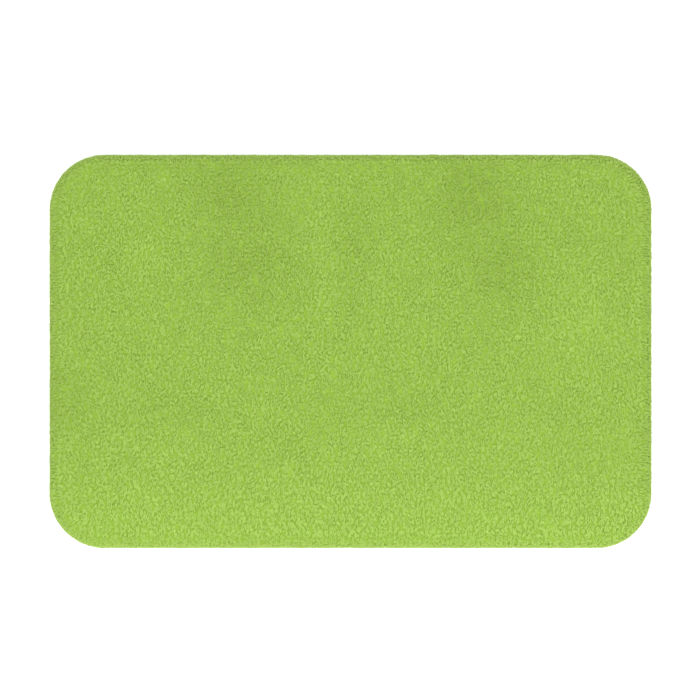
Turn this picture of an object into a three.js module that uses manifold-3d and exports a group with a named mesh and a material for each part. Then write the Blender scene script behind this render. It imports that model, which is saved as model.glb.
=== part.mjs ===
// A tufted bath mat, lying on the floor. Millimetres, +Z up, +X along the length.
// The origin is on the floor, under the middle of the mat.
//
// From the floor up the mat is a rubbery grip coat, a scrim cloth, a latex coat that locks the rows of
// back stitches, a woven primary backing and the cut pile. An overlock seam of three yarns binds the edge,
// and the pile spreads out over it.

import * as THREE from "three";
import { mergeVertices } from "three/addons/utils/BufferGeometryUtils.js";
import Module from "manifold-3d";

const wasm = await Module();
wasm.setup();

// ---- Driving dimensions ----

// Outline, measured at the widest part of the pile
const matLength = 765;
const matWidth = 500;
const cornerRadius = 68;
const cornerSteps = 12;

// Layers, from the floor up
const gripCoatThickness = 1.5;
const scrimThickness = 0.6;
const latexThickness = 1.8;
const primaryThickness = 0.6;
const pileHeight = 13.1;
const layerGap = 0.1;

// Clearance between a piece and a neighbour that is cut to fit round it
const clearance = 0.3;

// Cut pile: its rim is rounded above and below, and it spreads out past the edge seam
const pileRimRadius = 5;
const pileRimSteps = 3;
const pileOverhang = 2.5;

// Tufting rows, which run along the length
const rowPitch = 5.4;
const stitchWidth = 3.2;
const stitchThickness = 1;

// Edge seam
const looperYarnThickness = 1.2;
const looperReach = 8;
const needleThreadThickness = 0.8;

// Care label, a strip folded double and sewn down beside the back edge
const labelWidth = 32;
const labelLength = 45;
const labelLeafThickness = 0.25;
const labelFromEnd = 130;
const labelRoom = 2;
const labelSeamFromRoot = 2.5;
const labelThreadThickness = 0.3;

// ---- Levels and insets worked out from them ----

const gripCoatTop = gripCoatThickness;
const scrimBottom = gripCoatTop + layerGap;
const scrimTop = scrimBottom + scrimThickness;
const latexBottom = scrimTop + layerGap;
const latexTop = latexBottom + latexThickness;
const primaryBottom = latexTop + layerGap;
const primaryTop = primaryBottom + primaryThickness;
const pileBottom = primaryTop + layerGap;
const pileTop = pileBottom + pileHeight;

const looperInset = pileOverhang;
const clothInset = looperInset + looperYarnThickness + clearance;
const looperInnerInset = looperInset + looperReach;
const upperLooperBottom = primaryTop + layerGap;
const upperLooperTop = upperLooperBottom + looperYarnThickness;
const lowerLooperTop = scrimBottom - layerGap;
const lowerLooperBottom = lowerLooperTop - looperYarnThickness;

const needleThreadInset = looperInnerInset + clearance;
const needleThreadInnerInset = needleThreadInset + needleThreadThickness;
const fieldInset = needleThreadInnerInset + clearance;
const gripCoatInset = looperInnerInset + clearance;

// ---- Shapes ----

// The mat's outline, drawn in from its edge by inset.
function outline(inset, path = new THREE.Shape()) {
  const x = matLength / 2 - inset;
  const y = matWidth / 2 - inset;
  const r = Math.max(cornerRadius - inset, 1);
  path.moveTo(x, y - r);
  path.absarc(x - r, y - r, r, 0, Math.PI / 2);
  path.absarc(r - x, y - r, r, Math.PI / 2, Math.PI);
  path.absarc(r - x, r - y, r, Math.PI, 1.5 * Math.PI);
  path.absarc(x - r, r - y, r, 1.5 * Math.PI, 2 * Math.PI);
  return path;
}

// Half of the length that the outline, drawn in by inset, leaves at a distance y from its long centre line.
function halfLengthAt(y, inset) {
  const r = Math.max(cornerRadius - inset, 1);
  const intoCorner = Math.abs(y) - (matWidth / 2 - inset - r);
  const lost = intoCorner > 0 ? r - Math.sqrt(Math.max(r * r - intoCorner * intoCorner, 0)) : 0;
  return matLength / 2 - inset - lost;
}

// A sheet of the mat's outline, from one level to another.
function sheet(inset, bottom, top) {
  const shape = outline(inset);
  const geometry = new THREE.ExtrudeGeometry(shape, {
    depth: top - bottom,
    bevelEnabled: false,
    curveSegments: cornerSteps,
  });
  return geometry.translate(0, 0, bottom);
}

// A closed band that follows the mat's edge, between two insets.
function band(outerInset, innerInset, bottom, top) {
  const shape = outline(outerInset);
  shape.holes.push(outline(innerInset, new THREE.Path()));
  const geometry = new THREE.ExtrudeGeometry(shape, {
    depth: top - bottom,
    bevelEnabled: false,
    curveSegments: cornerSteps,
  });
  return geometry.translate(0, 0, bottom);
}

// A box given by its middle in plan and its lowest and highest level.
function block(x, y, width, depth, bottom, top) {
  const geometry = new THREE.BoxGeometry(width, depth, top - bottom);
  return geometry.translate(x, y, (bottom + top) / 2);
}

// ---- Joining and cutting ----

function toSolid(geometry) {
  const bare = geometry.clone();
  bare.deleteAttribute("normal");
  bare.deleteAttribute("uv");
  const merged = mergeVertices(bare, 1e-4);
  return new wasm.Manifold(
    new wasm.Mesh({
      numProp: 3,
      vertProperties: new Float32Array(merged.attributes.position.array),
      triVerts: new Uint32Array(merged.index.array),
    }),
  );
}

function toGeometry(solid) {
  const mesh = solid.getMesh();
  const geometry = new THREE.BufferGeometry();
  geometry.setAttribute("position", new THREE.BufferAttribute(mesh.vertProperties, 3));
  geometry.setIndex(new THREE.BufferAttribute(mesh.triVerts, 1));
  geometry.computeVertexNormals();
  return geometry;
}

function join(geometries) {
  return geometries.map(toSolid).reduce((whole, piece) => whole.add(piece));
}

// ---- Sub-parts ----

// Cut pile: a deep field inside the edge seam, and above it the full outline with its rounded rim.
function cutPile() {
  const spreadBottom = upperLooperTop + clearance;
  const rim = Math.min(pileRimRadius, (pileTop - spreadBottom) / 2 - clearance);
  const spread = new THREE.ExtrudeGeometry(outline(0), {
    depth: pileTop - spreadBottom - 2 * rim,
    bevelThickness: rim,
    bevelSize: rim,
    bevelOffset: -rim,
    bevelSegments: pileRimSteps,
    curveSegments: cornerSteps,
  }).translate(0, 0, spreadBottom + rim);
  const field = sheet(fieldInset, pileBottom, spreadBottom + rim);
  return toGeometry(join([spread, field]));
}

// The middle line of the back stitches, which goes to and fro along the rows.
function stitchLine() {
  const rowCount = Math.floor((matWidth - 2 * fieldInset - stitchWidth) / rowPitch) + 1;
  const rowY = (row) => (row - (rowCount - 1) / 2) * rowPitch;
  const rowEnd = (row) => halfLengthAt(Math.abs(rowY(row)) + stitchWidth / 2, fieldInset) - stitchWidth / 2;
  const points = [new THREE.Vector2(rowEnd(0), rowY(0))];
  for (let row = 0; row + 1 < rowCount; row++) {
    const side = row % 2 ? 1 : -1;
    const turnX = side * Math.min(rowEnd(row), rowEnd(row + 1));
    points.push(new THREE.Vector2(turnX, rowY(row)), new THREE.Vector2(turnX, rowY(row + 1)));
  }
  const last = rowCount - 1;
  const lastSide = last % 2 ? 1 : -1;
  points.push(new THREE.Vector2(lastSide * rowEnd(last), rowY(last)));
  return points;
}

// The outline of a strip along a line that turns only at right angles.
function stripOutline(line, halfWidth) {
  const left = [];
  const right = [];
  line.forEach((point, i) => {
    const into = point.clone().sub(line[Math.max(i - 1, 0)]).normalize();
    const out = line[Math.min(i + 1, line.length - 1)].clone().sub(point).normalize();
    const along = out.clone().sub(into).multiplyScalar(i % (line.length - 1) ? 0 : -1);
    const across = new THREE.Vector2(-into.y - out.y, into.x + out.x);
    left.push(point.clone().add(along.clone().add(across).multiplyScalar(halfWidth)));
    right.push(point.clone().add(along.sub(across).multiplyScalar(halfWidth)));
  });
  return new THREE.Shape([...left, ...right.reverse()]);
}

// Back stitches under the primary backing, one strip that holds every row. It grows by spare all round, so
// that the latex can be cut with the same rows and their clearance.
function stitchRows(spare = 0) {
  const bottom = latexTop - stitchThickness - spare;
  const top = latexTop + (spare > 0 ? layerGap : 0);
  const shape = stripOutline(stitchLine(), stitchWidth / 2 + spare);
  const geometry = new THREE.ExtrudeGeometry(shape, { depth: top - bottom, bevelEnabled: false });
  return geometry.translate(0, 0, bottom);
}

function latexLockCoat() {
  const coat = toSolid(sheet(clothInset, latexBottom, latexTop));
  return toGeometry(coat.subtract(toSolid(stitchRows(clearance))));
}

// Upper looper yarn: covers the top of the cloth's edge and turns down over it.
function upperLooperYarn() {
  const cover = band(looperInset, looperInnerInset, upperLooperBottom, upperLooperTop);
  const wrap = band(looperInset, looperInset + looperYarnThickness, lowerLooperBottom, upperLooperTop);
  return toGeometry(join([cover, wrap]));
}

// Lower looper yarn: covers the underside of the cloth's edge.
function lowerLooperYarn() {
  return band(clothInset, looperInnerInset, lowerLooperBottom, lowerLooperTop);
}

// Needle thread: runs along the inner side of the upper looper yarn.
function needleThread() {
  const bottom = upperLooperBottom;
  return band(needleThreadInset, needleThreadInnerInset, bottom, bottom + needleThreadThickness);
}

// The care label's root is beside the back edge's seam, and the label points to the middle of the mat.
const labelX = matLength / 2 - labelFromEnd;
const labelRootY = matWidth / 2 - gripCoatInset - labelRoom;
const labelTop = scrimBottom - layerGap;
const labelFoldGap = clearance;
const labelBottom = labelTop - 2 * labelLeafThickness - labelFoldGap;

// Grip coat: lies on the floor, inside the edge seam, with a notch in its back edge for the care label.
function gripCoat() {
  const coat = toSolid(sheet(gripCoatInset, 0, gripCoatTop));
  const notchFrontY = labelRootY - labelLength - labelRoom;
  const notchBackY = matWidth / 2;
  const notch = block(
    labelX,
    (notchFrontY + notchBackY) / 2,
    labelWidth + 2 * labelRoom,
    notchBackY - notchFrontY,
    -layerGap,
    gripCoatTop + layerGap,
  );
  return toGeometry(coat.subtract(toSolid(notch)));
}

// Care label: a strip folded double, with its fold at the free end and open at its root.
function careLabel() {
  const thickness = labelTop - labelBottom;
  const fold = thickness / 2;
  const inner = labelFoldGap / 2;
  const profile = new THREE.Shape();
  profile.moveTo(0, -fold);
  profile.absarc(labelLength - fold, 0, fold, -Math.PI / 2, Math.PI / 2);
  profile.lineTo(0, fold);
  profile.lineTo(0, inner);
  profile.absarc(labelLength - fold, 0, inner, Math.PI / 2, -Math.PI / 2, true);
  profile.lineTo(0, -inner);
  profile.closePath();
  const geometry = new THREE.ExtrudeGeometry(profile, {
    depth: labelWidth,
    bevelEnabled: false,
    curveSegments: 6,
  });
  // The profile is drawn with its length along X and its thickness along Y, and pulled out along Z.
  const toPlace = new THREE.Matrix4().makeBasis(
    new THREE.Vector3(0, -1, 0),
    new THREE.Vector3(0, 0, 1),
    new THREE.Vector3(-1, 0, 0),
  );
  toPlace.setPosition(labelX + labelWidth / 2, labelRootY, (labelBottom + labelTop) / 2);
  return geometry.applyMatrix4(toPlace);
}

// The line of stitches that holds the label's root, under the label.
function labelThread() {
  const top = labelBottom - layerGap;
  return block(
    labelX,
    labelRootY - labelSeamFromRoot,
    labelWidth - 2 * labelSeamFromRoot,
    labelThreadThickness,
    top - labelThreadThickness,
    top,
  );
}

// ---- Materials ----

const yarnGreen = "#9cbf52";
const finishes = {
  pile: { color: yarnGreen, roughness: 0.95, metalness: 0 },
  edgeYarn: { color: "#86ab3f", roughness: 0.85, metalness: 0 },
  backStitch: { color: "#8fb548", roughness: 0.95, metalness: 0 },
  wovenBacking: { color: "#d9dcc8", roughness: 0.8, metalness: 0 },
  scrim: { color: "#e6e5dc", roughness: 0.9, metalness: 0 },
  latex: { color: "#e9e4cf", roughness: 0.55, metalness: 0 },
  gripRubber: { color: "#ecebe4", roughness: 0.5, metalness: 0 },
  label: { color: "#f4f4f1", roughness: 0.45, metalness: 0 },
  labelThread: { color: "#f7f7f4", roughness: 0.6, metalness: 0 },
};

function finish(name) {
  return new THREE.MeshStandardMaterial(finishes[name]);
}

// ---- The mat ----

const mat = new THREE.Group();

function add(name, geometry, finishName) {
  const mesh = new THREE.Mesh(geometry, finish(finishName));
  mesh.name = name;
  mat.add(mesh);
}

add("grip_coat", gripCoat(), "gripRubber");
add("scrim_cloth", sheet(clothInset, scrimBottom, scrimTop), "scrim");
add("latex_lock_coat", latexLockCoat(), "latex");
add("back_stitch_rows", stitchRows(), "backStitch");
add("primary_backing", sheet(clothInset, primaryBottom, primaryTop), "wovenBacking");
add("cut_pile", cutPile(), "pile");
add("upper_looper_yarn", upperLooperYarn(), "edgeYarn");
add("lower_looper_yarn", lowerLooperYarn(), "edgeYarn");
add("needle_thread", needleThread(), "edgeYarn");
add("care_label", careLabel(), "label");
add("label_thread", labelThread(), "labelThread");

export default mat;
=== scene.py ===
import math
import random

import bmesh
import bpy
import numpy as np
from mathutils import Matrix, Vector, noise


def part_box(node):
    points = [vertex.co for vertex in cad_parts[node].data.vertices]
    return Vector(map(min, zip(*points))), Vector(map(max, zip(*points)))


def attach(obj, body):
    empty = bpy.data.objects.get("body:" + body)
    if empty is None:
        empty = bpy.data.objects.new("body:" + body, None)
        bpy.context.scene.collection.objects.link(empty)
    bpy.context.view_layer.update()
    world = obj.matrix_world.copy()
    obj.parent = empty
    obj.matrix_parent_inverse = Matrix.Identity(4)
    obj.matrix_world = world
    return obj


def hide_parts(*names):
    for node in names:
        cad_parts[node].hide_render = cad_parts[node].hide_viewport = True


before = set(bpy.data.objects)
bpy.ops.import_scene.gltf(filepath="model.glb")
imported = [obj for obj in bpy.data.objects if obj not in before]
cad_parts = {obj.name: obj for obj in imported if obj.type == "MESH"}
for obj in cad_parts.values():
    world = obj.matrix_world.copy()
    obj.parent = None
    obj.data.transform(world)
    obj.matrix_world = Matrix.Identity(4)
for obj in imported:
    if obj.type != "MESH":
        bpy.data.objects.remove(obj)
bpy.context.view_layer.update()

bl_info = {
    "name": "Bath Mat",
    "version": (1, 0, 0),
    "blender": (4, 5, 0),
    "location": "3D View > Sidebar > Bath Mat",
    "description": "Tufts, binds and backs a bath mat round its fixed frame",
    "category": "Object",
}

MM = 0.001

# ---- Places taken from the frame ----

PILE_LOW, PILE_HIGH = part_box("cut_pile")
CLOTH_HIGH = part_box("primary_backing")[1]
UPPER_LOW, UPPER_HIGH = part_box("upper_looper_yarn")
LOWER_LOW, LOWER_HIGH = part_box("lower_looper_yarn")
NEEDLE_LOW, NEEDLE_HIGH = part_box("needle_thread")
COAT_LOW, COAT_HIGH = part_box("grip_coat")
LABEL_LOW, LABEL_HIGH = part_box("care_label")
SEAM_LOW, SEAM_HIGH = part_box("label_thread")

HALF_LENGTH = PILE_HIGH.x
HALF_WIDTH = PILE_HIGH.y
WRAP_INSET = HALF_LENGTH - UPPER_HIGH.x
NEEDLE_INSET = HALF_LENGTH - NEEDLE_HIGH.x
COAT_INSET = HALF_LENGTH - COAT_HIGH.x

# Each strand takes a narrow strip of its piece's map. Its place across the map is its shade.
YARN_MAP = "OFBake"
SHADE_START = 0.02
SHADE_RANGE = 0.92
SHADE_STRIP = 0.03
ALONG_MARGIN = 0.01


def mesh_from(bm, name):
    """Turns a finished bmesh into a mesh."""
    mesh = bpy.data.meshes.new(name)
    bm.to_mesh(mesh)
    bm.free()
    return mesh


# ---- The mat's outline ----


def corner_radius():
    return bpy.context.scene.mat_pile.corner_radius


def inset_and_way(x, y):
    """How far a place lies inside the outline, and the way from it to the nearest edge."""
    radius = corner_radius()
    over_x = abs(x) - (HALF_LENGTH - radius)
    over_y = abs(y) - (HALF_WIDTH - radius)
    if over_x > 0 and over_y > 0:
        reach = math.hypot(over_x, over_y)
        way = Vector((math.copysign(over_x, x), math.copysign(over_y, y))) / reach
        return radius - reach, way
    if over_x > over_y:
        return radius - over_x, Vector((math.copysign(1, x), 0))
    return radius - over_y, Vector((0, math.copysign(1, y)))


def half_length_at(y, inset):
    """Half of the length that the outline, drawn in by inset, leaves at y."""
    radius = corner_radius() - inset
    into_corner = abs(y) - (HALF_WIDTH - corner_radius())
    lost = 0.0
    if into_corner > 0:
        lost = radius - math.sqrt(max(radius**2 - into_corner**2, 0))
    return HALF_LENGTH - inset - lost


def round_the_edge(inset, pitch):
    """Even places along the outline drawn in by inset, each as x, y and the angle that faces out."""
    corner_x = HALF_LENGTH - corner_radius()
    corner_y = HALF_WIDTH - corner_radius()
    radius = corner_radius() - inset
    bend = radius * math.pi / 2
    total = 4 * (corner_x + corner_y + bend)
    count = round(total / pitch)
    places = []
    for i in range(count):
        left = i * total / count
        for side in range(4):
            out, half = (corner_x, corner_y) if side % 2 == 0 else (corner_y, corner_x)
            turn = side * math.pi / 2
            if left < 2 * half:
                angle, local = turn, (out + radius, left - half)
                break
            left -= 2 * half
            if left < bend:
                lean = left / radius
                angle = turn + lean
                local = (out + radius * math.cos(lean), half + radius * math.sin(lean))
                break
            left -= bend
        place = Matrix.Rotation(turn, 2) @ Vector(local)
        places.append((place.x, place.y, angle))
    return places


# ---- Yarn and thread ----


class Strand:
    """A small shape that is copied many times, such as a length of yarn: its mesh, and its points as
    first made."""

    def __init__(self, mesh):
        self.mesh = mesh
        self.points = np.empty(len(mesh.vertices) * 3, np.float32)
        mesh.vertices.foreach_get("co", self.points)

    def copy_into(self, whole, place):
        self.mesh.transform(place)
        whole.from_mesh(self.mesh, face_normals=False, vertex_normals=False)
        self.mesh.vertices.foreach_set("co", self.points)


def extrude_end(bm, end):
    """Extrudes a strand's end face and gives the new one. The old one goes, unless it is the root's cap."""
    made = bmesh.ops.extrude_face_region(bm, geom=[end, *end.edges, *end.verts])["geom"]
    return next(g for g in made if isinstance(g, bmesh.types.BMFace))


def make_strand(path, widths, sides, ragged=0.0, frayed=0.0, seed=0):
    """A closed strand along a path, with its width at each point. Ragged is how much its width varies, and
    frayed is how unevenly its far end is cut."""
    chance = random.Random(seed)
    path = [Vector(p) for p in path]
    bm = bmesh.new()
    uv_layer = bm.loops.layers.uv.new(YARN_MAP)
    bmesh.ops.create_circle(bm, cap_ends=True, segments=sides, radius=1)
    end = bm.faces[:][0]
    ring_of = {}
    tangent = (path[1] - path[0]).normalized()
    across = tangent.orthogonal().normalized()
    last = len(path) - 1
    for ring, point in enumerate(path):
        ahead = path[min(ring + 1, last)]
        behind = path[max(ring - 1, 0)]
        heading = (ahead - behind).normalized()
        across.rotate(tangent.rotation_difference(heading))
        tangent = heading
        other = tangent.cross(across)
        if ring:
            end = extrude_end(bm, end)
        for k, vert in enumerate(end.verts):
            angle = 2 * math.pi * k / sides
            reach = widths[ring] / 2 * (1 + chance.uniform(-ragged, ragged))
            vert.co = point + reach * (math.cos(angle) * across + math.sin(angle) * other)
            if ring == last:
                vert.co += chance.uniform(-frayed, frayed) * heading
            ring_of[vert] = (k, ring)
    map_strand(bm, uv_layer, ring_of, sides, last)
    bmesh.ops.recalc_face_normals(bm, faces=bm.faces)
    return Strand(mesh_from(bm, "strand"))


def map_strand(bm, uv_layer, ring_of, sides, last):
    """Smooths a strand and lays its map, once round it and once along. The end caps are small rounds."""
    for face in bm.faces:
        face.smooth = True
        is_cap = len({ring_of[v][1] for v in face.verts}) == 1
        closes_ring = {ring_of[v][0] for v in face.verts} >= {0, sides - 1}
        for loop in face.loops:
            k, ring = ring_of[loop.vert]
            if is_cap:
                angle = 2 * math.pi * k / sides
                end = 0.99 if ring == last else 0.01
                loop[uv_layer].uv = (0.5 + 0.4 * math.cos(angle), end + 0.01 * math.sin(angle))
            else:
                loop[uv_layer].uv = ((sides if closes_ring and k == 0 else k) / sides, ring / last)


def lay_strands(name, strands, places, material, nodes):
    """One piece of many strands. Each place is a strand's number, a matrix and a shade from 0 to 1."""
    whole = bmesh.new()
    for number, place, _ in places:
        strands[number].copy_into(whole, place)
    mesh = mesh_from(whole, name)
    corners = [len(strands[number].mesh.loops) for number, _, _ in places]
    shades = np.repeat([shade for _, _, shade in places], corners)
    places_on_map = np.empty(len(mesh.loops) * 2, np.float32)
    layer = mesh.uv_layers[YARN_MAP]
    layer.data.foreach_get("uv", places_on_map)
    round_it, along = places_on_map[0::2], places_on_map[1::2]
    places_on_map[0::2] = SHADE_START + SHADE_RANGE * shades + SHADE_STRIP * round_it
    places_on_map[1::2] = ALONG_MARGIN + (1 - 2 * ALONG_MARGIN) * along
    layer.data.foreach_set("uv", places_on_map)
    return finish_piece(name, mesh, material, nodes)


def finish_piece(name, mesh, material, nodes):
    """Shows a mesh as a piece of the mat that stands for some of the frame's nodes."""
    mesh.materials.append(material)
    piece = bpy.data.objects.new(name, mesh)
    bpy.context.scene.collection.objects.link(piece)
    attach(piece, "root")
    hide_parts(*nodes)
    return piece


def remove_strands(strands):
    for strand in strands:
        bpy.data.meshes.remove(strand.mesh)


# ---- Materials ----


class Finish:
    """A procedural material: a Principled shader and the nodes that feed it."""

    def __init__(self, name, **sockets):
        self.material = bpy.data.materials.new(name)
        self.material.use_nodes = True
        self.tree = self.material.node_tree
        self.shader = self.tree.nodes["Principled BSDF"]
        for socket, value in sockets.items():
            self.shader.inputs[socket.replace("_", " ")].default_value = value

    def node(self, kind, settings=None, **sockets):
        """A new node. A socket takes a value, or another node's output."""
        made = self.tree.nodes.new("ShaderNode" + kind)
        for key, value in (settings or {}).items():
            setattr(made, key, value)
        for key, value in sockets.items():
            socket = made.inputs[int(key[1:]) if key[1:].isdigit() else key.replace("_", " ")]
            if isinstance(value, bpy.types.NodeSocket):
                self.tree.links.new(value, socket)
            else:
                socket.default_value = value
        return made

    def link(self, output, socket):
        self.tree.links.new(output, self.shader.inputs[socket])

    def maths(self, operation, a, b=0.0):
        return self.node("Math", {"operation": operation}, _0=a, _1=b).outputs[0]

    def blend(self, a, a_share, b, b_share):
        """Two values added up, each with its share."""
        return self.maths("ADD", self.maths("MULTIPLY", a, a_share), self.maths("MULTIPLY", b, b_share))

    def wave(self, value, turn):
        return self.maths("SINE", self.maths("MULTIPLY", value, turn))

    def ramp(self, value, stops):
        """A colour ramp through (place, colour) stops."""
        made = self.node("ValToRGB", Fac=value)
        elements = made.color_ramp.elements
        while len(elements) < len(stops):
            elements.new(0.5)
        for element, (place, colour) in zip(elements, stops):
            element.position = place
            element.color = (*colour[:3], 1)
        return made.outputs["Color"]

    def scaled(self, colour, amount):
        """A colour made lighter or darker by an amount."""
        made = self.node("VectorMath", {"operation": "SCALE"}, _0=colour, Scale=amount)
        return made.outputs[0]

    def spread(self, value, low, high):
        """A value from 0 to 1, spread between low and high."""
        made = self.node("MapRange", Value=value, To_Min=low, To_Max=high)
        return made.outputs["Result"]

    def object_place(self):
        return self.node("TexCoord").outputs["Object"]

    def grain(self, vector, scale, detail=2.0):
        return self.node("TexNoise", Vector=vector, Scale=scale, Detail=detail).outputs["Fac"]

    def bump(self, height, distance):
        made = self.node("Bump", Height=height, Distance=distance)
        self.link(made.outputs["Normal"], "Normal")


def yarn_finish(name, root, tip, shades, fibres, plies, turns, sheen, relief):
    """Spun yarn. Its colour goes from root to tip, and the darker root is painted shade, as deep in a pile.
    Its shade changes from strand to strand between two shades. So many fibres and plies lie round it, the
    plies twist by a number of turns along it, and both stand out by the relief."""
    finish = Finish(
        name,
        Roughness=0.95,
        Sheen_Weight=sheen,
        Sheen_Roughness=0.5,
        Sheen_Tint=(*[min(1, c * 1.6) for c in tip[:3]], 1),
        Specular_IOR_Level=0.15,
    )
    on_map = finish.node("UVMap", {"uv_map": YARN_MAP}).outputs["UV"]
    split = finish.node("SeparateXYZ", Vector=on_map)
    across, along = split.outputs["X"], split.outputs["Y"]
    paler = finish.maths("ADD", along, finish.spread(across, -0.15, 0.15))
    # Painted shade: the ramp darkens the yarn towards its root.
    colour = finish.ramp(paler, [(0.38, root), (0.85, tip)])
    strand = finish.scaled(colour, finish.spread(across, *shades))
    lengthwise = (fibres / SHADE_STRIP, 5, 1)
    stretched = finish.node("VectorMath", {"operation": "MULTIPLY"}, _0=on_map, _1=lengthwise)
    fibre = finish.grain(stretched.outputs[0], 1.0)
    fluff = finish.grain(finish.object_place(), 2200, 1.0)
    streaks = finish.blend(fibre, 0.6, fluff, 0.4)
    finish.link(finish.scaled(strand, finish.spread(streaks, 0.8, 1.2)), "Base Color")
    twist = finish.blend(across, plies / SHADE_STRIP, along, turns)
    ply = finish.wave(twist, 2 * math.pi)
    finish.bump(finish.maths("ADD", finish.maths("MULTIPLY", ply, 0.4), streaks), relief)
    return finish.material


def weave_finish(name, colour, thread, pitch, relief):
    """Plain woven cloth, drawn across the mat's own length and width."""
    finish = Finish(name, Roughness=0.85, Specular_IOR_Level=0.2)
    split = finish.node("SeparateXYZ", Vector=finish.object_place())
    warp = finish.wave(split.outputs["X"], math.pi / pitch)
    weft = finish.wave(split.outputs["Y"], math.pi / pitch)
    over = finish.maths("MULTIPLY", warp, weft)
    ridge = finish.maths("ADD", finish.maths("ABSOLUTE", warp), finish.maths("ABSOLUTE", weft))
    height = finish.blend(ridge, 0.5, over, 0.4)
    mottle = finish.grain(finish.object_place(), 90)
    shade = finish.blend(height, 0.7, mottle, 0.4)
    finish.link(finish.ramp(shade, [(0.15, thread), (0.75, colour)]), "Base Color")
    finish.bump(height, relief)
    return finish.material


def coat_finish(name, colour, shadow, roughness, lump, relief):
    """A dried coat of latex or rubber, with a fine lumpy skin."""
    finish = Finish(name, Specular_IOR_Level=0.45)
    place = finish.object_place()
    lumps = finish.grain(place, 1 / lump, 4.0)
    patches = finish.grain(place, 25, 3.0)
    finish.link(finish.ramp(patches, [(0.3, shadow), (0.7, colour)]), "Base Color")
    finish.link(finish.spread(lumps, roughness - 0.08, roughness + 0.08), "Roughness")
    finish.bump(lumps, relief)
    return finish.material


def satin_finish(name, colour):
    """A ribbon's satin: fine ribs across it, with a soft gloss."""
    finish = Finish(name, Roughness=0.38, Sheen_Weight=0.25, Specular_IOR_Level=0.5)
    place = finish.object_place()
    split = finish.node("SeparateXYZ", Vector=place)
    rib = finish.wave(split.outputs["Y"], 2 * math.pi / (0.45 * MM))
    cloud = finish.grain(place, 400)
    tone = finish.maths("ADD", finish.spread(rib, 0.42, 0.5), finish.maths("MULTIPLY", cloud, 0.2))
    low = [c * 0.9 for c in colour[:3]]
    finish.link(finish.ramp(tone, [(0.4, low), (0.65, colour)]), "Base Color")
    finish.bump(rib, 0.04 * MM)
    return finish.material


def floor_finish(name, colour):
    """A plain pale floor. It gives off a little light of its own, which keeps it white."""
    finish = Finish(
        name,
        Roughness=0.7,
        Specular_IOR_Level=0.2,
        Emission_Color=(1, 1, 1, 1),
        Emission_Strength=0.3,
    )
    cloud = finish.grain(finish.object_place(), 3)
    near = [c * 0.985 for c in colour[:3]]
    finish.link(finish.ramp(cloud, [(0.3, near), (0.7, colour)]), "Base Color")
    return finish.material


# ---- Settings ----


class MatPileSettings(bpy.types.PropertyGroup):
    """Sizes and colours of the cut pile"""

    corner_radius: bpy.props.FloatProperty(
        name="Corner Radius",
        description="Radius of the mat's corners",
        default=0.07,
        min=0.02,
        unit="LENGTH",
    )
    row_pitch: bpy.props.FloatProperty(
        name="Row Pitch",
        description="Distance between two tufting rows",
        default=0.0054,
        min=0.002,
        unit="LENGTH",
    )
    stitch_pitch: bpy.props.FloatProperty(
        name="Stitch Pitch",
        description="Distance between tufts along a row",
        default=0.0057,
        min=0.001,
        unit="LENGTH",
    )
    yarn_width: bpy.props.FloatProperty(
        name="Yarn Width",
        description="Width of a cut end where it blooms",
        default=0.0026,
        min=0.001,
        unit="LENGTH",
    )
    stray: bpy.props.FloatProperty(
        name="Stray",
        description="How far a tip strays from its row",
        default=0.0008,
        min=0,
        unit="LENGTH",
    )
    lean: bpy.props.FloatProperty(
        name="Lean",
        description="How far the tips lean towards the front",
        default=0.0048,
        min=0,
        unit="LENGTH",
    )
    swirl: bpy.props.FloatProperty(
        name="Swirl",
        description="How far the lean wanders over the mat",
        default=0.0026,
        min=0,
        unit="LENGTH",
    )
    tip_colour: bpy.props.FloatVectorProperty(
        name="Tip Colour",
        description="Colour of the yarn at its cut end",
        subtype="COLOR",
        default=(0.325, 0.47, 0.097),
    )
    # Painted shade: the pile yarn is painted darker towards its root, for the shade deep in the pile.
    shaded_root_colour: bpy.props.FloatVectorProperty(
        name="Root Colour",
        description="Colour of the yarn deep in the pile",
        subtype="COLOR",
        default=(0.225, 0.395, 0.012),
    )


class MatEdgeSettings(bpy.types.PropertyGroup):
    """Sizes and colours of the overlock seam"""

    stitch_pitch: bpy.props.FloatProperty(
        name="Stitch Pitch",
        description="Distance between two overlock stitches",
        default=0.0024,
        min=0.001,
        unit="LENGTH",
    )
    looper_width: bpy.props.FloatProperty(
        name="Looper Yarn",
        description="Width of the two looper yarns",
        default=0.0015,
        min=0.0003,
        unit="LENGTH",
    )
    needle_width: bpy.props.FloatProperty(
        name="Needle Thread",
        description="Width of the needle thread",
        default=0.0006,
        min=0.0002,
        unit="LENGTH",
    )
    colour: bpy.props.FloatVectorProperty(
        name="Edge Colour",
        description="Colour of the overlock yarns",
        subtype="COLOR",
        default=(0.26, 0.44, 0.06),
    )


class MatBackSettings(bpy.types.PropertyGroup):
    """Sizes and colours of the cloths and coats under the pile"""

    dot_pitch: bpy.props.FloatProperty(
        name="Dot Pitch",
        description="Distance between two grip dots",
        default=0.0125,
        min=0.004,
        unit="LENGTH",
    )
    dot_width: bpy.props.FloatProperty(
        name="Dot Width",
        description="Width of a grip dot",
        default=0.005,
        min=0.001,
        unit="LENGTH",
    )
    dot_height: bpy.props.FloatProperty(
        name="Dot Height",
        description="How far a grip dot stands out",
        default=0.0008,
        min=0.0002,
        unit="LENGTH",
    )
    rubber_colour: bpy.props.FloatVectorProperty(
        name="Rubber Colour",
        description="Colour of the grip coat",
        subtype="COLOR",
        default=(0.78, 0.77, 0.70),
    )
    label_colour: bpy.props.FloatVectorProperty(
        name="Label Colour",
        description="Colour of the care label",
        subtype="COLOR",
        default=(0.85, 0.85, 0.83),
    )


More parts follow.
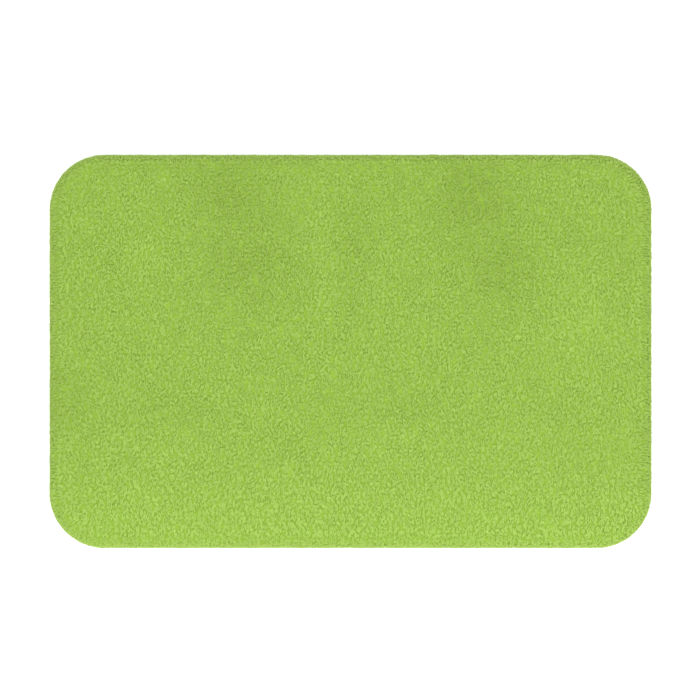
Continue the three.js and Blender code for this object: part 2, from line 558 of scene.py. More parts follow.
class MatStageSettings(bpy.types.PropertyGroup):
    """The floor, the lights and the camera"""

    floor_colour: bpy.props.FloatVectorProperty(
        name="Floor Colour",
        description="Colour of the floor",
        subtype="COLOR",
        default=(0.93, 0.93, 0.93),
    )
    sky: bpy.props.FloatProperty(
        name="Sky",
        description="Strength of the even light from all round",
        default=1.15,
        min=0,
    )
    key: bpy.props.FloatProperty(
        name="Key",
        description="Power of the soft light in front of the mat",
        default=120.0,
        min=0,
        unit="POWER",
    )
    camera_height: bpy.props.FloatProperty(
        name="Camera Height",
        description="Height of the camera over the mat",
        default=3.2,
        min=1,
        unit="LENGTH",
    )
    mat_share: bpy.props.FloatProperty(
        name="Mat Share",
        description="Share of the picture's width that the mat takes",
        default=0.8608,
        min=0.1,
        max=1,
    )


# ---- The cut pile ----

PILE_PIECES = 9
PILE_FLOOR = PILE_LOW.z
PILE_TOP = PILE_HIGH.z
RIM_RADIUS = 5 * MM
TIP_DROP = 0.8 * MM
PILE_HEIGHT = PILE_TOP - 0.5 * TIP_DROP - PILE_FLOOR
# An end whose tip is at the outline has its root this far in, past the needle line. Further in, the roots
# draw nearer to under their tips, until the gather ends at its reach.
ROOT_INSET = NEEDLE_INSET + 1.7 * MM
GATHER_REACH = 30 * MM
FIELD_INSET = 0.72 * RIM_RADIUS
TUFT_INSET = 0.6 * RIM_RADIUS
# Each tuft is a bundle of five ends, spread by these shares of the stitch pitch and the row pitch.
BUNDLE = ((0, 0), (-1, -1), (1, -1), (-1, 1), (1, 1))
BUNDLE_SHARE_X = 0.21
BUNDLE_SHARE_Y = 0.28
FIELD_LEANS = (0.8 * MM, 2.2 * MM, 3.6 * MM, 5.2 * MM, 7.4 * MM, 10.2 * MM)
FIELD_VARIANTS = 6
FAR_LEAN = 6 * MM
FRAY = 0.5 * MM
TIP_CROWDING = 0.65
# The rim's rings of ends, as the angle above level at which each ring's tips face out. The ends of a ring
# slide out by millimetres between two limits, mostly inwards at the top, where the rim runs into the field.
RIM_RINGS = (66, 42, 20, -2, -26, -48)
RIM_BACK = ((-3.2, 0.4), (-1.4, 0.3), (-0.7, 0), (-0.7, 0), (-0.7, 0), (-0.7, 0))
RIM_VARIANTS = 5
RIM_STRAY_DEGREES = 7
RIM_CLEARANCE = 0.3 * MM
RIM_PITCH_SHARE = 0.85
RIM_SHADOW = 0.45
MIDDLE_SHADE = 0.58
# Painted light: the pile along the front edge is painted paler by this much, fading over the front reach.
FRONT_PAINTED_LIGHT = 0.27
FRONT_REACH = 90 * MM
# Soft marks where the pile was brushed another way. They are partly the yarn's own tone and partly painted
# shade, the light that the turned nap catches or loses: a middle, the reach along and across the mat, and
# the change in shade.
BRUSH_MARKS_PAINTED_SHADE = (
    (-0.155, 0.200, 0.045, 0.040, -0.31),
    (-0.130, 0.110, 0.055, 0.050, -0.27),
    (0.155, 0.200, 0.050, 0.045, -0.34),
    (0.190, 0.110, 0.050, 0.055, -0.27),
    (0.005, 0.135, 0.025, 0.060, -0.15),
    (-0.355, -0.065, 0.030, 0.035, -0.17),
    (-0.035, 0.120, 0.012, 0.130, 0.10),
    (-0.262, 0.120, 0.035, 0.040, 0.12),
    (0.295, 0.045, 0.050, 0.070, 0.12),
    (0.045, -0.120, 0.040, 0.030, 0.09),
    (-0.240, -0.125, 0.040, 0.030, 0.09),
    (0.060, -0.075, 0.060, 0.025, -0.09),
    (-0.230, -0.075, 0.060, 0.025, -0.09),
)
BED_STEP = 4.5 * MM
BED_INSET = 3 * MM
BED_RADIUS = 4 * MM
BED_DEPTH = 3.3 * MM
BED_LUMP = 0.7 * MM
BED_LUMP_SIZE = 5 * MM
BED_CLEARANCE = 0.2 * MM


def gathered(inset):
    """How much further in than its tip a yarn has its root, so that the pile fans out over the seam."""
    return ROOT_INSET * max(1 - inset / GATHER_REACH, 0) ** 2


def swirl_at(x, y, size, seed):
    """A smooth wandering value from about -1 to 1, whose hills are about one size across."""
    return noise.noise(Vector((x / size, y / size, seed)))


def yarn_path(lean, height, leaving, ending, points, wobble, seed):
    """A yarn's line from its root to a tip that is over by lean. It leaves and ends at angles above level,
    and its points lie closer together towards the tip."""
    chance = random.Random(seed)
    start = Vector((0, 0, 0))
    finish = Vector((lean, 0, height))
    pull = 0.42 * finish.length
    knee = pull * Vector((math.cos(leaving), 0, math.sin(leaving)))
    wrist = finish - pull * Vector((math.cos(ending), 0, math.sin(ending)))
    path = []
    for i in range(points):
        t = (i / (points - 1)) ** TIP_CROWDING
        u = 1 - t
        point = u**3 * start + 3 * u * u * t * knee + 3 * u * t * t * wrist + t**3 * finish
        sway = wobble * math.sin(math.pi * t)
        path.append(point + Vector((chance.uniform(-sway, sway), chance.uniform(-sway, sway), 0)))
    return path


def field_strands(width):
    """Cut ends for the open field, in steps of lean, with a few of each. An end that leans a little stands
    up and nods over at its tip. One that leans far lies low over the seam first, and then stands up."""
    widths = [0.7 * width, width, 0.72 * width]
    strands = []
    for lean in FIELD_LEANS:
        degrees = (88, 84 - 14 * lean / MM) if lean < FAR_LEAN else (30, 52)
        leaving, ending = map(math.radians, degrees)
        for _ in range(FIELD_VARIANTS):
            seed = len(strands)
            path = yarn_path(lean, PILE_HEIGHT, leaving, ending, 3, 0.5 * MM, seed)
            strands.append(make_strand(path, widths, sides=4, ragged=0.2, frayed=FRAY, seed=seed))
    return strands


def shade_of(x, y, chance):
    """A yarn's shade: soft clouds of tone, marks where the pile was brushed with the nap's shade painted
    in, painted light along the front edge, and chance.
    """
    clouds = 0.03 * swirl_at(x, y, 40 * MM, 3.1) + 0.04 * swirl_at(x, y, 16 * MM, 8.4)
    # Painted shade, in part: each brush mark darkens or lightens the yarn as the turned nap would under the
    # light.
    for mark_x, mark_y, wide_x, wide_y, amount in BRUSH_MARKS_PAINTED_SHADE:
        far = ((x - mark_x) / wide_x) ** 2 + ((y - mark_y) / wide_y) ** 2
        clouds += amount * math.exp(-far)
    # Painted light: the front edge of the pile is painted paler, as if lit more from the front.
    front = FRONT_PAINTED_LIGHT * math.exp(-(((y + HALF_WIDTH) / FRONT_REACH) ** 2))
    return min(max(MIDDLE_SHADE + clouds + front + chance.gauss(0, 0.04), 0), 1)


def brushed_at(settings, x, y):
    """The way that the pile is brushed at a place."""
    wide = settings.swirl
    along = wide * swirl_at(x, y, 60 * MM, 1.7) + 0.4 * wide * swirl_at(x, y, 9 * MM, 5.2)
    across = wide * swirl_at(x, y, 70 * MM, 6.3) + 0.5 * wide * swirl_at(x, y, 11 * MM, 2.9)
    return Vector((along, across - settings.lean))


def tufts(settings, chance):
    """Where each stitch's tuft stands. Rows run along the mat, and each starts at a place of its own."""
    rows = int((2 * HALF_WIDTH - 2 * TUFT_INSET) / settings.row_pitch)
    for row in range(rows + 1):
        row_y = (row - rows / 2) * settings.row_pitch
        stitches = int(2 * half_length_at(row_y, TUFT_INSET) / settings.stitch_pitch)
        phase = chance.uniform(-0.5, 0.5)
        for stitch in range(stitches + 2):
            row_x = (stitch - stitches / 2 + phase) * settings.stitch_pitch
            x = row_x + chance.gauss(0, 1.4) * settings.stray
            yield x, row_y + chance.gauss(0, 1) * settings.stray


class Tuft:
    """What the five ends of one tuft share: how far they lean, stand lower, turn and differ in shade."""

    def __init__(self, chance):
        self.lean = Vector((chance.gauss(0, 0.6), chance.gauss(0, 0.9))) * MM
        self.low = abs(chance.gauss(0, 0.4)) * MM
        self.turn = Matrix.Rotation(chance.gauss(0, 0.5), 2)
        self.shade = chance.gauss(0, 0.05)


def field_places(settings, chance):
    """Where each cut end of the open field goes. Each tuft is a bundle of ends that differ a little."""
    spread_x = BUNDLE_SHARE_X * settings.stitch_pitch
    spread_y = BUNDLE_SHARE_Y * settings.row_pitch
    places = []
    for tuft_x, tuft_y in tufts(settings, chance):
        tuft = Tuft(chance)
        for bundle_x, bundle_y in BUNDLE:
            local = tuft.turn @ Vector((bundle_x * spread_x, bundle_y * spread_y))
            x = tuft_x + local.x + chance.gauss(0, 0.5) * settings.stray
            y = tuft_y + local.y + chance.gauss(0, 0.9) * settings.stray
            if inset_and_way(x, y)[0] >= FIELD_INSET:
                places.append(field_place(settings, tuft, local, x, y, chance))
    return places


def field_place(settings, tuft, local, x, y, chance):
    """Where one cut end of a tuft goes, when its tip is at x and y and it stands at local in its bundle."""
    inset, way = inset_and_way(x, y)
    open_share = 0.3 + 0.7 * min(inset / GATHER_REACH, 1)
    lean = gathered(inset) * way + open_share * (brushed_at(settings, x, y) + tuft.lean) + 0.25 * local
    lean += Vector((chance.gauss(0, 0.5), chance.gauss(0, 0.5))) * MM
    low = tuft.low + abs(chance.gauss(0, 0.3)) * MM + 0.3 * MM * swirl_at(x, y, 14 * MM, 9.9)
    grow = (PILE_HEIGHT - rounded_off(inset, RIM_RADIUS) - low) / PILE_HEIGHT
    step = min(range(len(FIELD_LEANS)), key=lambda i: abs(FIELD_LEANS[i] - lean.length))
    stretch = lean.length / FIELD_LEANS[step] if FIELD_LEANS[step] > FAR_LEAN else 1
    place = (
        Matrix.Translation((x - lean.x, y - lean.y, PILE_FLOOR))
        @ Matrix.Rotation(math.atan2(lean.y, lean.x), 4, "Z")
        @ Matrix.Diagonal((stretch, chance.uniform(0.85, 1.15), grow, 1))
    )
    # Painted shade: an end that stands lower in the pile is painted darker.
    shade = shade_of(x, y, chance) + tuft.shade - 0.05 * low / MM
    return step * FIELD_VARIANTS + chance.randrange(FIELD_VARIANTS), place, min(max(shade, 0), 1)


def rim_strands(width, first_seed=500):
    """Cut ends for the rim, in rings from its top to its underside, each lying out and over the seam."""
    widths = [0.6 * width, 0.8 * width, width, 0.75 * width]
    strands = []
    for degrees in RIM_RINGS:
        angle = math.radians(degrees)
        upper_centre = PILE_TOP - TIP_DROP - RIM_RADIUS
        lower_centre = UPPER_HIGH.z + RIM_RADIUS + RIM_CLEARANCE
        tip_z = (upper_centre if degrees > 0 else lower_centre) + RIM_RADIUS * math.sin(angle)
        tip_inset = RIM_RADIUS - RIM_RADIUS * math.cos(angle)
        lean = gathered(tip_inset)
        for variant in range(RIM_VARIANTS):
            seed = first_seed + len(strands)
            ending = angle + math.radians(RIM_STRAY_DEGREES * (variant - RIM_VARIANTS // 2))
            path = yarn_path(lean, tip_z - PILE_FLOOR, math.radians(32), ending, 4, 0.3 * MM, seed)
            path = [p - Vector((tip_inset + lean, 0, 0)) for p in path]
            strands.append(make_strand(path, widths, sides=4, ragged=0.2, frayed=FRAY, seed=seed))
    return strands


def rim_places(settings, first, chance):
    """Where each cut end of the rim goes. A rim strand's own origin is on the outline, at the pile's
    floor."""
    places = []
    pitch = RIM_PITCH_SHARE * settings.yarn_width
    for ring, degrees in enumerate(RIM_RINGS):
        # Painted shade: the rings lower under the rim are painted darker, for the rim's shadow.
        under = RIM_SHADOW * (1 - math.sin(math.radians(degrees)))
        for x, y, angle in round_the_edge(0, pitch):
            slide = (0.5 * (ring % 2) + chance.uniform(-0.3, 0.3)) * pitch
            place = (
                Matrix.Translation((x - slide * math.sin(angle), y + slide * math.cos(angle), PILE_FLOOR))
                @ Matrix.Rotation(angle + chance.gauss(0, 0.05), 4, "Z")
                @ Matrix.Translation((chance.uniform(*RIM_BACK[ring]) * MM, 0, 0))
                @ Matrix.Diagonal((1, 1, chance.uniform(0.9, 1.0), 1))
            )
            number = first + ring * RIM_VARIANTS + chance.randrange(RIM_VARIANTS)
            places.append((number, place, max(shade_of(x, y, chance) - under, 0)))
    return places


def rounded_off(inset, radius):
    """How far a rim of this radius has dropped at an inset from its edge."""
    return radius - math.sqrt(max(radius**2 - max(radius - inset, 0) ** 2, 0))


def make_pile_bed(material):
    """The thick of the pile, just below the tips: a lumpy bed that closes the view between the yarns."""
    bm = bmesh.new()
    uv_layer = bm.loops.layers.uv.new(YARN_MAP)
    columns = round(2 * HALF_LENGTH / BED_STEP)
    rows = round(2 * HALF_WIDTH / BED_STEP)
    bmesh.ops.create_grid(bm, x_segments=columns, y_segments=rows, size=1)
    bmesh.ops.scale(bm, verts=bm.verts, vec=(HALF_LENGTH - BED_INSET, HALF_WIDTH - BED_INSET, 1))
    outside = [f for f in bm.faces if inset_and_way(*f.calc_center_median().xy)[0] < BED_INSET]
    bmesh.ops.delete(bm, geom=outside, context="FACES")
    rim = [e for e in bm.edges if e.is_boundary]
    for vert in {v for e in rim for v in e.verts}:
        inset, way = inset_and_way(*vert.co.xy)
        vert.co.xy += (inset - BED_INSET) * way
    for vert in bm.verts:
        x, y = vert.co.xy
        drop = rounded_off(inset_and_way(x, y)[0] - BED_INSET, BED_RADIUS)
        vert.co.z = PILE_TOP - BED_DEPTH - drop + BED_LUMP * swirl_at(x, y, BED_LUMP_SIZE, 4.4)
    made = bmesh.ops.extrude_edge_only(bm, edges=rim)["geom"]
    for vert in (g for g in made if isinstance(g, bmesh.types.BMVert)):
        vert.co.z = UPPER_HIGH.z + BED_CLEARANCE
    low_rim = [g for g in made if isinstance(g, bmesh.types.BMEdge) and g.is_boundary]
    bmesh.ops.holes_fill(bm, edges=low_rim)
    for face in bm.faces:
        face.smooth = len(face.verts) == 4
        for loop in face.loops:
            x, y = loop.vert.co.xy
            loop[uv_layer].uv = (0.5 + 0.5 * x / HALF_LENGTH, 0.5 + 0.5 * y / HALF_LENGTH)
    bmesh.ops.recalc_face_normals(bm, faces=bm.faces)
    return finish_piece("pile_bed", mesh_from(bm, "pile_bed"), material, ["cut_pile"])


def bed_finish(name, colour):
    """The shaded thick of the pile, speckled by the yarns that stand in it."""
    finish = Finish(name, Roughness=1.0, Sheen_Weight=0.2, Specular_IOR_Level=0.1)
    place = finish.object_place()
    speckle = finish.grain(place, 380, 3.0)
    low = [c * 0.8 for c in colour[:3]]
    finish.link(finish.ramp(speckle, [(0.35, low), (0.65, colour)]), "Base Color")
    finish.bump(speckle, 0.8 * MM)
    return finish.material


class MAT_OT_tuft_pile(bpy.types.Operator):
    """Tufts the cut pile, row by row, and fans it out over the edge"""

    bl_idname = "mat.tuft_pile"
    bl_label = "Tuft Pile"

    def execute(self, context):
        settings = context.scene.mat_pile
        chance = random.Random(20)
        tip, root = list(settings.tip_colour), list(settings.shaded_root_colour)
        yarn = yarn_finish(
            "pile_yarn",
            root,
            tip,
            shades=(0.75, 1.18),
            fibres=10,
            plies=2,
            turns=3,
            sheen=0.35,
            relief=0.12 * MM,
        )
        field = field_strands(settings.yarn_width)
        rim = rim_strands(settings.yarn_width)
        places = field_places(settings, chance)
        places += rim_places(settings, len(field), chance)
        places.sort(key=lambda p: p[1].translation.y)
        size = math.ceil(len(places) / PILE_PIECES)
        for i in range(PILE_PIECES):
            part = places[i * size : (i + 1) * size]
            lay_strands(f"pile_rows_{i + 1}", field + rim, part, yarn, ["cut_pile"])
        remove_strands(field + rim)
        make_pile_bed(bed_finish("pile_bed", [(a + b) / 2 for a, b in zip(root, tip)]))
        return {"FINISHED"}


# ---- The overlock seam ----


# How far in from the wrapped edge the looper yarns meet the needle's holes.
LOOPER_HOLE = -(NEEDLE_INSET - WRAP_INSET + 0.3 * MM)


def there_and_back(path, turn):
    """A path to its last point, and back the same way on the other side of its turn along the edge."""
    return path + [(x, 2 * turn - y, z) for x, y, z in reversed(path[:-1])]


class MAT_OT_bind_edge(bpy.types.Operator):
    """Sews the overlock seam round the edge: two looper yarns and the needle thread"""

    bl_idname = "mat.bind_edge"
    bl_label = "Bind Edge"

    def execute(self, context):
        settings = context.scene.mat_edge
        colour = list(settings.colour)
        dark = [c * 0.7 for c in colour]
        looper = yarn_finish(
            "edge_yarn",
            dark,
            colour,
            shades=(0.9, 1.1),
            fibres=8,
            plies=3,
            turns=14,
            sheen=0.3,
            relief=0.15 * MM,
        )
        thread = yarn_finish(
            "needle_thread",
            dark,
            colour,
            shades=(0.95, 1.05),
            fibres=6,
            plies=3,
            turns=8,
            sheen=0.1,
            relief=0.06 * MM,
        )
        stitches = round_the_edge(WRAP_INSET, settings.stitch_pitch)
        upper, lower = self.upper_loop(settings), self.lower_loop(settings)
        needle = self.needle_stitch(settings)
        self.lay("upper_looper_loops", upper, stitches, looper, "edge_yarn", "upper_looper_yarn")
        self.lay("lower_looper_loops", lower, stitches, looper, "edge_yarn", "lower_looper_yarn")
        self.lay("needle_stitches", needle, stitches, thread, "needle_thread", "needle_thread")
        return {"FINISHED"}

    def lay(self, name, strand, stitches, material, slot_name, node):
        """Lays one strand at every stitch. A strand's own origin is on the outline of the wrapped edge."""
        chance = random.Random(name)
        places = []
        for x, y, angle in stitches:
            place = Matrix.Translation((x, y, 0)) @ Matrix.Rotation(angle + chance.gauss(0, 0.02), 4, "Z")
            places.append((0, place, min(max(chance.gauss(0.5, 0.15), 0), 1)))
        lay_strands(name, [strand], places, material, [node])
        remove_strands([strand])

    def upper_loop(self, settings):
        """From the needle line over the top to the edge, down round it, and back to the next stitch."""
        half = settings.looper_width / 2
        over = UPPER_HIGH.z - half
        hole = LOOPER_HOLE
        out = -half
        pitch = settings.stitch_pitch
        path = [
            (hole, 0.02 * pitch, CLOTH_HIGH.z - half),
            (hole + half, 0.05 * pitch, over - 0.2 * MM),
            (0.5 * hole, 0.14 * pitch, over),
            (out - 0.6 * half, 0.22 * pitch, over - 0.2 * MM),
            (out, 0.25 * pitch, over - 1.2 * MM),
            (out, 0.28 * pitch, UPPER_LOW.z + 2.4 * MM),
            (out - 0.1 * MM, 0.5 * pitch, UPPER_LOW.z + 1.5 * MM),
        ]
        path = there_and_back(path, 0.5 * pitch)
        return make_strand(path, [settings.looper_width] * len(path), sides=5)

    def lower_loop(self, settings):
        """From the needle line under the cloth to the edge, up between two upper loops, and back."""
        half = settings.looper_width / 2
        under = LOWER_LOW.z + half
        hole = LOOPER_HOLE
        out = -2.4 * half
        pitch = settings.stitch_pitch
        path = [
            (hole, 0.5 * pitch, LOWER_HIGH.z + half),
            (hole + half, 0.55 * pitch, under),
            (0.5 * hole, 0.7 * pitch, under),
            (out, 0.84 * pitch, under + 0.3 * MM),
            (out + 1.1 * half, pitch, under + 1.0 * MM),
        ]
        path = there_and_back(path, pitch)
        return make_strand(path, [settings.looper_width] * len(path), sides=5)

    def needle_stitch(self, settings):
        """One stitch of the needle thread, from hole to hole."""
        half = settings.needle_width / 2
        line = -(NEEDLE_INSET - WRAP_INSET) - half
        top = NEEDLE_HIGH.z - half
        pitch = settings.stitch_pitch
        path = [
            (line, 0.04 * pitch, NEEDLE_LOW.z - half),
            (line, 0.12 * pitch, top - 0.1 * MM),
            (line, 0.5 * pitch, top),
        ]
        path = there_and_back(path, 0.5 * pitch)
        return make_strand(path, [settings.needle_width] * len(path), sides=4)


# ---- The grip coat ----

NOTCH_ROOM = 2 * MM
# How far each dot reaches up into the film.
DOT_ROOT = 0.2 * MM


def rounded_sheet(bm, inset, level):
    """Adds a flat face with the mat's outline, drawn in by inset."""
    made = bmesh.ops.create_grid(bm, x_segments=1, y_segments=1, size=1)["verts"]
    bmesh.ops.scale(bm, verts=made, vec=(HALF_LENGTH - inset, HALF_WIDTH - inset, 1))
    bmesh.ops.translate(bm, verts=made, vec=(0, 0, level))
    bmesh.ops.bevel(
        bm,
        geom=made,
        offset=corner_radius() - inset,
        segments=16,
        profile=0.5,
        affect="VERTICES",
        material=-1,
    )


class MAT_OT_coat_back(bpy.types.Operator):
    """Coats the back: a rubber film with a notch for the label, and the dots that the mat stands on"""

    bl_idname = "mat.coat_back"
    bl_label = "Coat Back"

    def execute(self, context):
        settings = context.scene.mat_back
        colour = list(settings.rubber_colour)
        rubber = coat_finish("grip_rubber", colour, [c * 0.93 for c in colour], 0.5, 0.9 * MM, 0.12 * MM)
        bm = bmesh.new()
        film_low = COAT_LOW.z + settings.dot_height
        rounded_sheet(bm, COAT_INSET, COAT_HIGH.z)
        self.cut_notch(bm)
        made = bmesh.ops.extrude_face_region(bm, geom=bm.faces[:])["geom"]
        lower = [g for g in made if isinstance(g, bmesh.types.BMVert)]
        bmesh.ops.translate(bm, verts=lower, vec=(0, 0, film_low - COAT_HIGH.z))
        bmesh.ops.recalc_face_normals(bm, faces=bm.faces)
        dot = self.make_dot(settings, film_low)
        for x, y in self.dot_places(settings):
            dot.copy_into(bm, Matrix.Translation((x, y, 0)))
        mesh = mesh_from(bm, "grip_coat_dotted")
        finish_piece("grip_coat_dotted", mesh, rubber, ["grip_coat"])
        remove_strands([dot])
        return {"FINISHED"}

    def notch(self, room):
        """The label's room in the coat: left, right and front."""
        return LABEL_LOW.x - room, LABEL_HIGH.x + room, LABEL_LOW.y - room

    def cut_notch(self, bm):
        """Cuts the label's notch out of the coat's flat face."""
        left, right, front = self.notch(NOTCH_ROOM)
        cuts = (((left, 0, 0), (1, 0, 0)), ((right, 0, 0), (1, 0, 0)), ((0, front, 0), (0, 1, 0)))
        for place, way in cuts:
            geom = bm.verts[:] + bm.edges[:] + bm.faces[:]
            bmesh.ops.bisect_plane(bm, geom=geom, plane_co=place, plane_no=way, dist=1e-7)
        middles = [(face, face.calc_center_median()) for face in bm.faces]
        within = [face for face, middle in middles if left < middle.x < right and middle.y > front]
        bmesh.ops.delete(bm, geom=within, context="FACES")

    def make_dot(self, settings, film_low):
        """A flat dot with a round shoulder, from inside the film down to the floor."""
        bm = bmesh.new()
        radius = settings.dot_width / 2
        depth = film_low - COAT_LOW.z + DOT_ROOT
        foot = 0.86 * radius
        bmesh.ops.create_cone(bm, cap_ends=True, segments=8, radius1=foot, radius2=radius, depth=depth)
        bmesh.ops.translate(bm, verts=bm.verts, vec=(0, 0, COAT_LOW.z + depth / 2))
        rim = [e for e in bm.edges if all(v.co.z < COAT_LOW.z + depth / 4 for v in e.verts)]
        bmesh.ops.bevel(
            bm,
            geom=rim,
            offset=0.3 * settings.dot_height,
            segments=1,
            profile=0.5,
            affect="EDGES",
            material=-1,
        )
        for face in bm.faces:
            face.smooth = abs(face.normal.z) < 0.9
        return Strand(mesh_from(bm, "dot"))

    def dot_places(self, settings):
        """Staggered rows of dots, clear of the coat's edge and of the label."""
        left, right, front = self.notch(NOTCH_ROOM + settings.dot_width)
        margin = COAT_INSET + settings.dot_width
        row_pitch = settings.dot_pitch * math.sqrt(3) / 2
        rows = int((HALF_WIDTH - margin) / row_pitch)
        columns = int((HALF_LENGTH - margin) / settings.dot_pitch)
        places = []
        for row in range(-rows, rows + 1):
            y = row * row_pitch
            shift = 0.5 * (row % 2) * settings.dot_pitch
            for column in range(-columns, columns + 1):
                x = column * settings.dot_pitch + shift
                by_label = left < x < right and y > front
                if inset_and_way(x, y)[0] >= margin and not by_label:
                    places.append((x, y))
        return places


# ---- The care label ----


class MAT_OT_sew_label(bpy.types.Operator):
    """Folds the blank care label and sews it down"""

    bl_idname = "mat.sew_label"
    bl_label = "Sew Label"

    def execute(self, context):
        settings = context.scene.mat_back
        colour = list(settings.label_colour)
        satin = satin_finish("label_satin", colour)
        thread = yarn_finish(
            "label_thread",
            [0.9 * c for c in colour],
            colour,
            shades=(0.95, 1.0),
            fibres=6,
            plies=3,
            turns=2,
            sheen=0.1,
            relief=0.01 * MM,
        )
        ribbon = self.make_ribbon(satin)
        self.sew(thread)
        return {"FINISHED"}

    def make_ribbon(self, material):
        """One ribbon, folded double at its free end, with a slight ripple in its lower leaf."""
        leaf = 0.22 * MM
        bm = bmesh.new()
        width = LABEL_HIGH.x - LABEL_LOW.x
        length = LABEL_HIGH.y - LABEL_LOW.y
        bend = (LABEL_HIGH.z - LABEL_LOW.z - leaf) / 2
        middle_x = (LABEL_LOW.x + LABEL_HIGH.x) / 2
        middle_z = (LABEL_LOW.z + LABEL_HIGH.z) / 2
        root = Vector((middle_x, LABEL_HIGH.y, middle_z))
        bmesh.ops.create_grid(bm, x_segments=16, y_segments=96, size=0.5)
        straight = length - bend - leaf / 2
        total = 2 * straight + math.pi * bend
        for vert in bm.verts:
            across = vert.co.x * width
            along = (vert.co.y + 0.5) * total
            from_root = min(along, total - along) / straight
            ripple = 0.06 * MM * math.sin(across / width * 3 * math.pi) * from_root
            if along < straight:
                out, up = along, -bend
            elif along > total - straight:
                out, up = total - along, bend
            else:
                turn = (along - straight) / bend
                out, up = straight + bend * math.sin(turn), -bend * math.cos(turn)
            vert.co = root + Vector((across, -out, up + (ripple if up < 0 else 0)))
        bmesh.ops.recalc_face_normals(bm, faces=bm.faces)
        bmesh.ops.solidify(bm, geom=bm.faces[:], thickness=leaf / 2)
        for face in bm.faces:
            face.smooth = True
        bmesh.ops.recalc_face_normals(bm, faces=bm.faces)
        mesh = mesh_from(bm, "care_label_ribbon")
        return finish_piece("care_label_ribbon", mesh, material, ["care_label"])

    def sew(self, material):
        """A line of short stitches over the label's root."""
        pitch = 3 * MM
        width = 0.35 * MM
        middle_y = (SEAM_LOW.y + SEAM_HIGH.y) / 2
        low = SEAM_LOW.z + width / 2
        path = [
            (0.05 * pitch, 0, LABEL_LOW.z + 0.15 * MM),
            (0.15 * pitch, 0, low + 0.1 * MM),
            (0.4 * pitch, 0, low),
            (0.65 * pitch, 0, low + 0.1 * MM),
            (0.75 * pitch, 0, LABEL_LOW.z + 0.15 * MM),
        ]
        stitch = make_strand(path, [width] * len(path), sides=6)
        count = int((SEAM_HIGH.x - SEAM_LOW.x) / pitch)
        places = []
        for i in range(count):
            place = Matrix.Translation((SEAM_LOW.x + i * pitch, middle_y, 0))
            places.append((0, place, 0.3 + 0.4 * (i % 2)))
        lay_strands("label_stitches", [stitch], places, material, ["label_thread"])
        remove_strands([stitch])


# ---- The cloths and coats that stay as the frame has them ----


class MAT_OT_finish_cloths(bpy.types.Operator):
    """Gives the woven backing, the scrim, the latex and the back stitches their materials"""

    bl_idname = "mat.finish_cloths"
    bl_label = "Finish Cloths"

    def execute(self, context):
        tape, tape_gap = (0.66, 0.68, 0.52), (0.36, 0.38, 0.26)
        cotton, cotton_gap = (0.76, 0.75, 0.68), (0.48, 0.47, 0.42)
        cream, cream_shadow = (0.76, 0.71, 0.56), (0.66, 0.61, 0.46)
        finishes = {
            "primary_backing": weave_finish("woven_backing", tape, tape_gap, 1.9 * MM, 0.15 * MM),
            "scrim_cloth": weave_finish("scrim", cotton, cotton_gap, 2.6 * MM, 0.2 * MM),
            "latex_lock_coat": coat_finish("latex", cream, cream_shadow, 0.5, 3 * MM, 0.3 * MM),
            "back_stitch_rows": self.stitch_finish(context),
        }
        for name, material in finishes.items():
            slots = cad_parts[name].data.materials
            slots.clear()
            slots.append(material)
        beneath = {"primary_backing": "latex_lock_coat", "scrim_cloth": "grip_coat_dotted"}
        for name, lies_on in beneath.items():
            low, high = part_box(name)
        return {"FINISHED"}

    def stitch_finish(self, context):
        """Tufting yarn seen from the back, one short stitch after another along each row."""
        colour = list(context.scene.mat_pile.tip_colour)
        finish = Finish("back_stitch", Roughness=0.95, Sheen_Weight=0.2, Specular_IOR_Level=0.15)
        split = finish.node("SeparateXYZ", Vector=finish.object_place())
        pitch = context.scene.mat_pile.stitch_pitch
        stitch = finish.maths("ABSOLUTE", finish.wave(split.outputs["X"], math.pi / pitch))
        fibre = finish.grain(finish.object_place(), 900)
        shade = finish.blend(stitch, 0.6, fibre, 0.4)
        finish.link(finish.ramp(shade, [(0.1, [c * 0.5 for c in colour]), (0.8, colour)]), "Base Color")
        finish.bump(shade, 0.5 * MM)
        return finish.material


# ---- The stage ----

FLOOR_GAP = 0.05 * MM
KEY_SIZE = (3.0, 2.4)
KEY_PLACE = (0.2, -1.6, 4.0)
# The camera stands almost over the middle of the mat.
CAMERA_X = -0.7 * MM
CAMERA_Y = 1.9 * MM


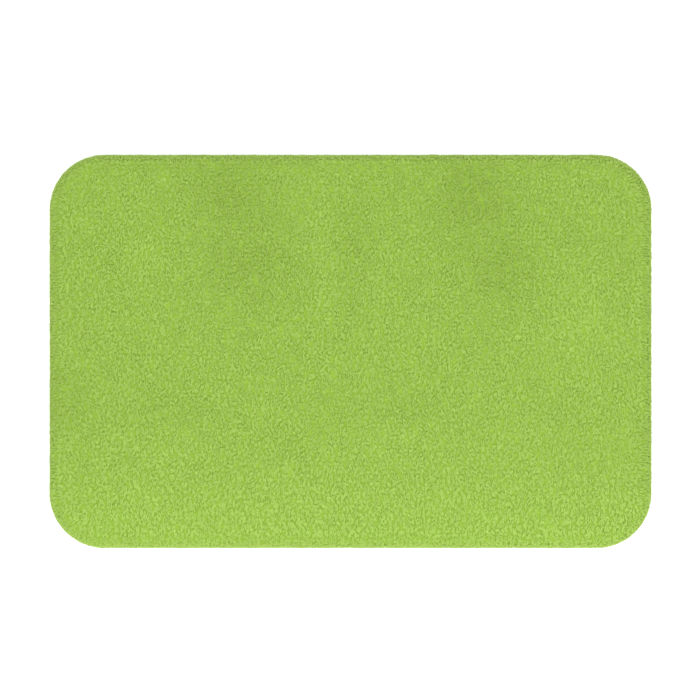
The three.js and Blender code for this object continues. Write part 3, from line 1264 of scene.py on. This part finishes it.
class MAT_OT_set_stage(bpy.types.Operator):
    """Lays the pale floor and sets the lights and the camera, which looks straight down"""

    bl_idname = "mat.set_stage"
    bl_label = "Set Stage"

    def execute(self, context):
        settings = context.scene.mat_stage
        self.lay_floor(settings)
        self.set_lights(context.scene, settings)
        self.set_camera(context.scene, settings)
        context.scene.view_settings.view_transform = "Standard"
        return {"FINISHED"}

    def lay_floor(self, settings):
        bm = bmesh.new()
        bmesh.ops.create_grid(bm, x_segments=4, y_segments=4, size=6)
        bmesh.ops.translate(bm, verts=bm.verts, vec=(0, 0, COAT_LOW.z - FLOOR_GAP))
        mesh = mesh_from(bm, "floor")
        mesh.materials.append(floor_finish("floor", list(settings.floor_colour)))
        floor = bpy.data.objects.new("floor", mesh)
        bpy.context.scene.collection.objects.link(floor)

    def set_lights(self, scene, settings):
        world = bpy.data.worlds.new("studio")
        world.use_nodes = True
        sky = world.node_tree.nodes["Background"]
        sky.inputs["Color"].default_value = (1, 1, 1, 1)
        sky.inputs["Strength"].default_value = settings.sky
        scene.world = world
        data = bpy.data.lights.new("key", "AREA")
        data.shape = "RECTANGLE"
        data.size, data.size_y = KEY_SIZE
        data.energy = settings.key
        key = bpy.data.objects.new("key", data)
        key.location = KEY_PLACE
        key.rotation_mode = "QUATERNION"
        key.rotation_quaternion = (Vector((0, 0, 0)) - key.location).to_track_quat("-Z", "Y")
        scene.collection.objects.link(key)

    def set_camera(self, scene, settings):
        data = bpy.data.cameras.new("camera")
        height = settings.camera_height
        widest = PILE_TOP - RIM_RADIUS
        data.lens = data.sensor_width * (height - widest) * settings.mat_share / (2 * HALF_LENGTH)
        camera = bpy.data.objects.new("camera", data)
        camera.location = (CAMERA_X, CAMERA_Y, height)
        scene.collection.objects.link(camera)
        scene.camera = camera


# ---- The add-on ----


class MAT_PT_panel(bpy.types.Panel):
    """The bath mat's tools"""

    bl_label = "Bath Mat"
    bl_idname = "MAT_PT_panel"
    bl_space_type = "VIEW_3D"
    bl_region_type = "UI"
    bl_category = "Bath Mat"

    def draw(self, context):
        for group in ("mat_pile", "mat_edge", "mat_back", "mat_stage"):
            settings = getattr(context.scene, group)
            box = self.layout.box()
            for name in settings.__annotations__:
                box.prop(settings, name)
        for step in STEPS:
            self.layout.operator(step.bl_idname)


SETTINGS = {
    "mat_pile": MatPileSettings,
    "mat_edge": MatEdgeSettings,
    "mat_back": MatBackSettings,
    "mat_stage": MatStageSettings,
}
STEPS = (
    MAT_OT_set_stage,
    MAT_OT_coat_back,
    MAT_OT_sew_label,
    MAT_OT_finish_cloths,
    MAT_OT_bind_edge,
    MAT_OT_tuft_pile,
)
CLASSES = (*SETTINGS.values(), *STEPS, MAT_PT_panel)


def register():
    for item in CLASSES:
        bpy.utils.register_class(item)
    for name, group in SETTINGS.items():
        setattr(bpy.types.Scene, name, bpy.props.PointerProperty(type=group))


def unregister():
    for name in SETTINGS:
        delattr(bpy.types.Scene, name)
    for item in reversed(CLASSES):
        bpy.utils.unregister_class(item)


def main():
    register()
    bpy.ops.mat.set_stage()
    bpy.ops.mat.coat_back()
    bpy.ops.mat.sew_label()
    bpy.ops.mat.finish_cloths()
    bpy.ops.mat.bind_edge()
    bpy.ops.mat.tuft_pile()


if __name__ == "__main__":
    main()
